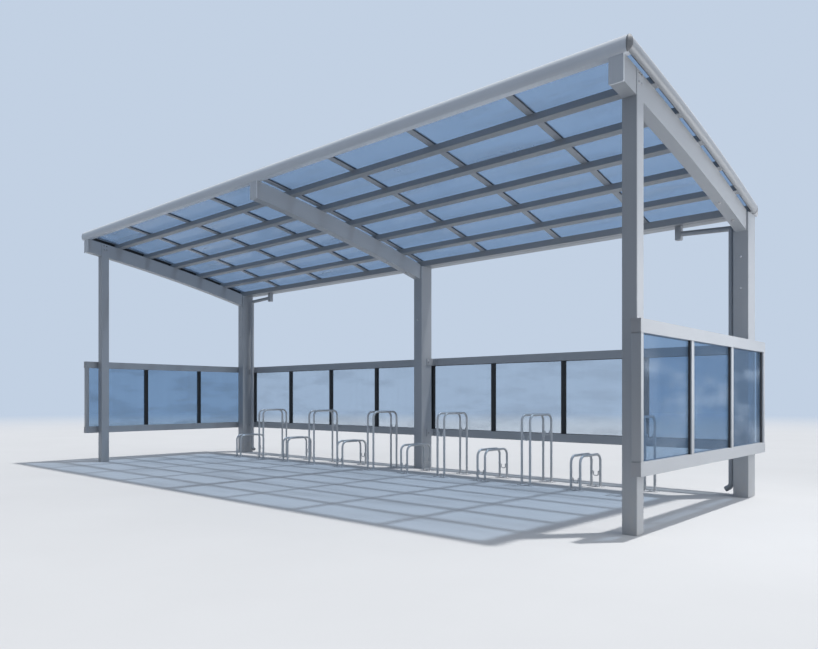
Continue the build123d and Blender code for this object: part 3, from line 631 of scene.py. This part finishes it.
bracketLow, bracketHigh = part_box("screen_brackets")
postFaces = [(low.x, -1) for low, high in rearPosts[1:]] + [(high.x, 1) for low, high in rearPosts[:-1]]
for low, high in spansOf("screen_brackets", 2):  # a screw through each leg of the angle brackets
    z = (low + high) / 2
    for x, out in postFaces:
        screws.append(socketScrew((x + out * screw["footOut"], bracketHigh.y - screw["bracket"], z), (0, -1, 0)))
        screws.append(socketScrew((x + out * screw["bracket"], bracketLow.y + screw["wallIn"], z), (out, 0, 0)))
addPiece("frame_screws", screws, finishes["bright"])
print("screws made,", len(screws))


# rounded edges of the roof: fascia, side frames, their corners and rear ends

nose = {"outer": 3.045, "inner": 3.017, "height": 0.079, "topIn": 0.027, "topDown": 0.046, "lowIn": 0.022,
        "lowUp": 0.030, "grip": 0.020, "lip": 0.003, "sheet": 0.027, "slot": 0.0045, "front": -1.052,
        "gripFront": -1.006, "rearCap": 0.941, "clear": 0.0004, "sunk": 0.001, "steps": 13, "rows": 61}
visor = {"front": -1.080, "back": -1.014, "top": 2.438, "topIn": 0.038, "topDown": 0.053, "bottom": 2.3465,
         "seat": -1.0653, "capTop": 2.3525, "lowUp": 0.036, "facet": 0.0195, "facetReach": 0.47,
         "facetLeast": 0.0006, "facetTop": 0.7, "meet": 0.0002}


def noseCurve(topIn, topDown, lowIn, lowUp, height, steps):
    # outer edge of a rounded member from its foot up: (drawn in, height) over a quarter ellipse, a flat, another one
    turn = np.linspace(0, math.pi / 2, steps)
    low = np.stack([lowIn * (1 - np.sin(turn)), lowUp * (1 - np.cos(turn))], -1)
    top = np.stack([topIn * (1 - np.cos(turn)), height - topDown * (1 - np.sin(turn))], -1)
    return np.concatenate([low, top])


sideCurve = noseCurve(nose["topIn"], nose["topDown"], nose["lowIn"], nose["lowUp"], nose["height"], nose["steps"])
rearCaps, corners = [], []
for name, out in outward.items():
    outline = np.stack([out * (nose["outer"] - sideCurve[:, 0]), sideCurve[:, 1] - nose["height"]], -1)
    outline = np.concatenate([outline, [(out * nose["inner"], 0.0), (out * nose["inner"], -nose["height"])]])
    sideFrame = [downRoof(outline, nose["front"] + nose["clear"], nose["rearCap"] - nose["clear"], nose["rows"])]
    rearCaps.append(downRoof(outline, nose["rearCap"], roofArc["rear"][0], 2))
    low, high = nose["inner"] - nose["grip"], nose["inner"] + nose["sunk"]
    for under, over in ((nose["sheet"] + nose["lip"], nose["sheet"]),
                        (nose["sheet"] - nose["slot"], nose["sheet"] - nose["slot"] - nose["lip"])):
        ledge = np.array([(out * low, -under), (out * high, -under), (out * high, -over), (out * low, -over)])
        sideFrame.append(downRoof(ledge, nose["gripFront"], nose["rearCap"], nose["rows"]))
    addPiece("side_frame_nose_" + name, sideFrame, finishes["sideNose"],
             stands=("side_frame_" + name,))
addPiece("side_frame_rear_caps", rearCaps, finishes["cornerCaps"], stands=("frame_end_caps",))

visorCurve = noseCurve(visor["topIn"], visor["topDown"], visor["seat"] - visor["front"], visor["lowUp"],
                       visor["top"] - visor["bottom"], nose["steps"])
section = np.stack([visor["front"] + visorCurve[:, 0], visor["bottom"] + visorCurve[:, 1]], -1)
backTop = arcAt(arcAngle(visor["back"]))[0][2]
section = np.concatenate([section, [(visor["back"], backTop), (visor["back"], visor["capTop"]),
                                    (visor["seat"], visor["capTop"])]])
wholeLength = [(-nose["inner"], 0, 0), (nose["inner"], 0, 0)]
addPiece("fascia_nose", [carried(section, wholeLength, (0, 1, 0), (0, 0, 1))], finishes["fascia"],
         stands=("fascia",))

keep = visorCurve[:, 0] < visor["topIn"] * visor["facetTop"]
keep[:nose["steps"]] = True
share = np.linspace(0, 1, keep.sum())
bulge = 1 - ((share - 0.5) / visor["facetReach"]) ** 2
width = visor["facet"] * np.sqrt(np.clip(bulge, visor["facetLeast"], 1))
noseY, noseZ = visor["front"] + visorCurve[keep, 0], visor["bottom"] + visorCurve[keep, 1]
sidePoint, sideUp = arcAt(arcAngle(nose["front"]))
depth = nose["height"] - sideCurve[keep, 1]
sideY, sideZ = sidePoint[1] - depth * sideUp[1], sidePoint[2] - depth * sideUp[2]
for out in outward.values():  # between the fascia and the side frame, with a flat facet that narrows up and down
    x = nose["outer"] - sideCurve[keep, 0]
    start = np.minimum(noseY + width, sideY - visor["meet"])
    columns = [(0 * x + nose["inner"], noseY, noseZ), (x - width, noseY, noseZ),
               (x, start, (noseZ + sideZ) / 2), (x, sideY, sideZ), (0 * x + nose["inner"], sideY, sideZ)]
    corners.append(closedSkin(np.stack([np.stack([out * a, b, c], -1) for a, b, c in columns], 1)))
addPiece("corner_noses", corners, finishes["cornerCaps"], stands=("corner_caps",))

shadeStrip = {"thick": 0.004, "sunk": 0.0005, "foot": 0.0015, "rootDrop": 0.0075, "tipDrop": 0.0055, "short": 0.004}
shadeStrips = []  # painted shade: black strips along the side frames' inner faces below the sheets, where those faces lie in shadow
for out in outward.values():
    near, far = nose["inner"] - shadeStrip["thick"], nose["inner"] + shadeStrip["sunk"]
    tip = nose["inner"] - nose["grip"] + shadeStrip["sunk"]
    foot, top = shadeStrip["foot"] - nose["height"], shadeStrip["sunk"] - nose["sheet"] - nose["lip"]
    shape = np.array([(out * far, foot), (out * near, foot), (out * near, top - shadeStrip["rootDrop"]),
                      (out * tip, top - shadeStrip["tipDrop"]), (out * tip, top), (out * far, top)])
    shadeStrips.append(downRoof(shape, nose["gripFront"] + shadeStrip["short"], nose["rearCap"] - shadeStrip["short"],
                             nose["rows"]))
addPiece("side_shade_strips", shadeStrips, finishes["seal"])
print("roof edges made")


# downpipes: an outlet under the gutter, a pipe down the post and a shoe

pipe = {"radius": 0.019, "wall": 0.002, "mouth": 0.012, "box": 0.046, "boxHeight": 0.102, "boxCorner": 0.006,
        "boxEdge": 0.004, "sunk": 0.003, "drop": 0.057, "fall": 0.017, "elbow": 0.012, "elbowFall": 0.0006,
        "bend": 0.046, "bendSteps": 9, "shoe": 0.085, "turn": 62, "toe": 0.018, "sides": 28}
for name, out in outward.items():
    low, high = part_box("downpipe_" + name)
    near, far = (low.x, high.x) if out > 0 else (high.x, low.x)
    y, top = (low.y + high.y) / 2, high.z
    x = far - out * pipe["radius"]
    edge = near + out * (pipe["box"] - pipe["sunk"])
    height = top - pipe["drop"] - pipe["fall"]
    swing = np.linspace(0, math.radians(pipe["turn"]), pipe["bendSteps"])
    foot = np.stack([x - out * pipe["bend"] * (1 - np.cos(swing)), 0 * swing + y,
                     pipe["shoe"] - pipe["bend"] * np.sin(swing)], -1)
    ahead = np.array([-out * math.sin(swing[-1]), 0, -math.cos(swing[-1])]) * pipe["toe"]
    route = np.concatenate([[(edge, y, top - pipe["drop"]),
                             (x - out * pipe["elbow"], y, height + pipe["elbowFall"]),
                             (x, y, height - pipe["elbow"])], foot, foot[-1:] + ahead])
    boxLow, boxHigh = sorted((near, near + out * pipe["box"]))
    box = softBox((boxLow, y - pipe["box"] / 2, top - pipe["boxHeight"]), (boxHigh, y + pipe["box"] / 2, top),
                  pipe["boxCorner"], pipe["boxEdge"])
    run = tube(route, pipe["radius"], (0, 1, 0), pipe["sides"], mouth=(pipe["wall"], pipe["mouth"]))
    addPiece("rainpipe_" + name, [box, run], finishes["alongZ"], stands=("downpipe_" + name,))
print("downpipes made")


# side uprights, the rear rails' caps and rubber seals

mullion = {"sunk": 0.003, "outer": 0.0225, "lid": 0.0135, "wider": 0.003, "corner": 0.003, "edge": 0.001,
           "clear": 0.0004}
for name, out in outward.items():  # stiles as deep as the rails; mullions that stand out of the panes
    (low, high), (railLow, railHigh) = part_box("side_screen_panes_" + name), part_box("side_screen_rails_" + name)
    spans = spansOf("side_screen_panes_" + name, 1)
    middle, corner, edge = (low.x + high.x) / 2, mullion["corner"], mullion["edge"]
    back = middle - out * ((high.x - low.x) / 2 - mullion["sunk"])
    neck = sorted((back, middle + out * (mullion["lid"] + edge)))
    lid = sorted((middle + out * mullion["lid"], middle + out * mullion["outer"]))
    uprights = []
    for start, end in [(railLow.y, spans[0][0]), (spans[-1][1], railHigh.y)]:
        uprights.append(softBox((railLow.x + mullion["clear"], start, low.z),
                                (railHigh.x - mullion["clear"], end, high.z), corner, edge))
    for (_, start), (end, _) in zip(spans, spans[1:]):
        uprights.append(softBox((neck[0], start, low.z), (neck[1], end, high.z), edge, edge))
        uprights.append(softBox((lid[0], start - mullion["wider"], low.z),
                                (lid[1], end + mullion["wider"], high.z), corner, edge))
    addPiece("side_uprights_" + name, uprights, finishes["sideUprights"],
             stands=("side_screen_uprights_" + name,))

plug = {"sunk": 0.001, "proud": 0.0025, "inset": 0.0006, "edge": 0.0008}
plugs = []  # caps that close the ends of the rear screens' rails
for name in outward:
    (low, high), (paneLow, paneHigh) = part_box("rear_screen_rails_" + name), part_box("rear_screen_panes_" + name)
    for end, out in ((low.x, -1), (high.x, 1)):
        start, stop = sorted((end - out * plug["sunk"], end + out * plug["proud"]))
        for under, over in ((low.z, paneLow.z), (paneHigh.z, high.z)):
            plugs.append(softBox((start, low.y + plug["inset"], under + plug["inset"]),
                                 (stop, high.y - plug["inset"], over - plug["inset"]), plug["edge"], plug["edge"]))
addPiece("rear_rail_plugs", plugs, finishes["caps"])

seal = {"rise": 0.0105, "width": 0.0045, "inside": 0.0025, "thin": 0.25}


def sealProfile(rise, width):
    # a lip that leans on the pane, with a rounded back from (width, a quarter of its rise) to (a quarter of its
    # width, rise)
    turn = np.linspace(0, math.pi / 2, 5)
    curve = np.stack([width * np.cos(turn), rise * (seal["thin"] + (1 - seal["thin"]) * np.sin(turn) ** 2)], -1)
    return np.concatenate([[(0.0, 0.0), (width, 0.0)], curve[:-1], [(width * seal["thin"], rise), (0.0, rise)]])


beads = []
outside, inside = [sealProfile(seal[rise], seal["width"]) for rise in ("rise", "inside")]
for name in outward:
    low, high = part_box("side_screen_panes_" + name)
    for start, end in spansOf("side_screen_panes_" + name, 1):
        for face, out in ((low.x, -1), (high.x, 1)):
            profile = outside if out * low.x > 0 else inside
            for y, inward in ((start, 1.0), (end, -1.0)):
                beads.append(carried(profile, [(face, y, low.z), (face, y, high.z)], (0, inward, 0), (out, 0, 0)))
for name in outward:
    low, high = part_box("rear_screen_panes_" + name)
    for start, end in spansOf("rear_screen_panes_" + name, 0):
        for face, out in ((low.y, -1), (high.y, 1)):
            beads.append(ring(outside, (start, low.z), (end, high.z), face, out))
addPiece("pane_seals", beads, finishes["seal"])

barSeal = {"pitch": 0.755, "aside": 0.022, "width": 0.0035, "drop": 0.0042, "front": 0.020, "rear": 0.004,
           "rows": 41}
sheetLow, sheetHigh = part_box("roof_sheets_right")
reach = np.linspace(arcAngle(sheetLow.y + barSeal["front"]), arcAngle(sheetHigh.y - barSeal["rear"]), barSeal["rows"])
sheetArc, radial = arcAt(reach, nose["sheet"])
turn = np.linspace(0, math.pi / 2, 4)
strips = []
for x, out in [(n * barSeal["pitch"] + side * barSeal["aside"], side) for n in range(-3, 4) for side in (-1, 1)]:
    lip = np.stack([out * barSeal["width"] * np.cos(turn), -barSeal["drop"] * np.sin(turn)], -1)
    strips.append(carried(np.concatenate([[(0.0, 0.0)], lip]), sheetArc + (x, 0, 0), (1, 0, 0), radial))
addPiece("bar_seals", strips, finishes["seal"])
print("seals made,", len(beads) + len(strips))


# floor, light and camera

stage = {"floor": (0.60, 0.605, 0.615, 1), "far": (0.54, 0.635, 0.77, 1), "half": 90.0, "near": 9.0, "fade": 26.0,
         "thrown": (0.62, 0.62, 0.62, 1), "thrownFar": (0.10, 0.105, 0.115, 1), "bands": (1.2, 1.9)}
bpy.ops.mesh.primitive_plane_add(size=2 * stage["half"], location=(0, 0, 0))
floor = bpy.context.object
floor.name = "floor"
f = Finish(bpy.data.materials.new("pale_floor"))
x, y = f.axes()[:2]
away = f.node("ShaderNodeMath", {"operation": "SQRT"}, {0: x * x + y * y})
speckle = f.noise(140.0, 4.0, 0.7)
clouds = f.noise(0.8, 5.0, 0.6)
thrown = f.mix(f.ramp(abs(y), *stage["bands"]), stage["thrown"], stage["thrownFar"])
shown = f.tinted(stage["floor"], 0.93 + clouds * 0.10 + (speckle - 0.5) * 0.05)
ground = f.node("ShaderNodeBsdfPrincipled", {}, {"Base Color": f.mix(f.seen(), thrown, shown), "Roughness": 0.85})
glow = f.node("ShaderNodeEmission", {}, {"Color": stage["far"], "Strength": 1.0})
floor.data.materials.append(f.finished(f.node("ShaderNodeMixShader", {}, {
    0: f.ramp(away, stage["near"], stage["fade"]), 1: ground, 2: glow})))

sky = {"low": (0.035, 0.042, 0.052, 1), "high": (0.62, 0.67, 0.75, 1), "rise": (0.15, 0.95), "seen": stage["far"]}
world = bpy.data.worlds.new("studio")
bpy.context.scene.world = world
w = Finish(world)
upward = w.node("ShaderNodeSeparateXYZ", {}, {0: w.node("ShaderNodeTexCoord", {}, {}, "Generated")}, 2)
graded = w.mix(w.ramp(upward, *sky["rise"]), sky["low"], sky["high"])
lighting = w.node("ShaderNodeBackground", {}, {"Color": graded})
backdrop = w.node("ShaderNodeBackground", {}, {"Color": sky["seen"], "Strength": 1.0})
surround = w.node("ShaderNodeMixShader", {}, {0: w.seen(), 1: lighting, 2: backdrop})
w.node("ShaderNodeOutputWorld", {}, {"Surface": surround})

lamps = {
    "sun": {"kind": "SUN", "energy": 2.7, "from": (0.44, 0.52, 2.4), "size": 0.03, "colour": (1.0, 0.985, 0.96)},
    "right": {"kind": "AREA", "energy": 25, "from": (4.9, 0.5, 1.3), "size": 3.6, "height": 1.6,
              "colour": (1.0, 0.99, 0.98), "at": (3.0, -0.2, 1.3), "spread": 116},
}
for name, lamp in lamps.items():
    data = bpy.data.lights.new(name, lamp["kind"])
    data.energy, data.color = lamp["energy"], lamp["colour"]
    if lamp["kind"] == "SUN":
        data.angle = lamp["size"]
    else:
        data.shape, data.size, data.size_y = "RECTANGLE", lamp["size"], lamp["height"]
        data.spread = math.radians(lamp["spread"])
    light = bpy.data.objects.new(name, data)
    bpy.context.scene.collection.objects.link(light)
    start = np.array(lamp["from"], float)
    aim = start - lamp.get("at", (0, 0, 0))
    pitch, turn = math.atan2(math.hypot(aim[0], aim[1]), aim[2]), math.atan2(aim[0], -aim[1])
    light.location, light.rotation_euler = start, (pitch, 0, turn)

view = {"place": (4.4743, -4.2482, 0.6912), "turn": 41.96, "lens": 30.70, "rise": 0.0888}
cameraData = bpy.data.cameras.new("camera")
cameraData.sensor_width, cameraData.lens, cameraData.shift_y = 36.0, view["lens"], view["rise"]
camera = bpy.data.objects.new("camera", cameraData)
camera.location = view["place"]
camera.rotation_euler = (math.radians(90), 0, math.radians(view["turn"]))
bpy.context.scene.collection.objects.link(camera)
bpy.context.scene.camera = camera
bpy.context.scene.view_settings.view_transform = "Standard"
print("stage set")
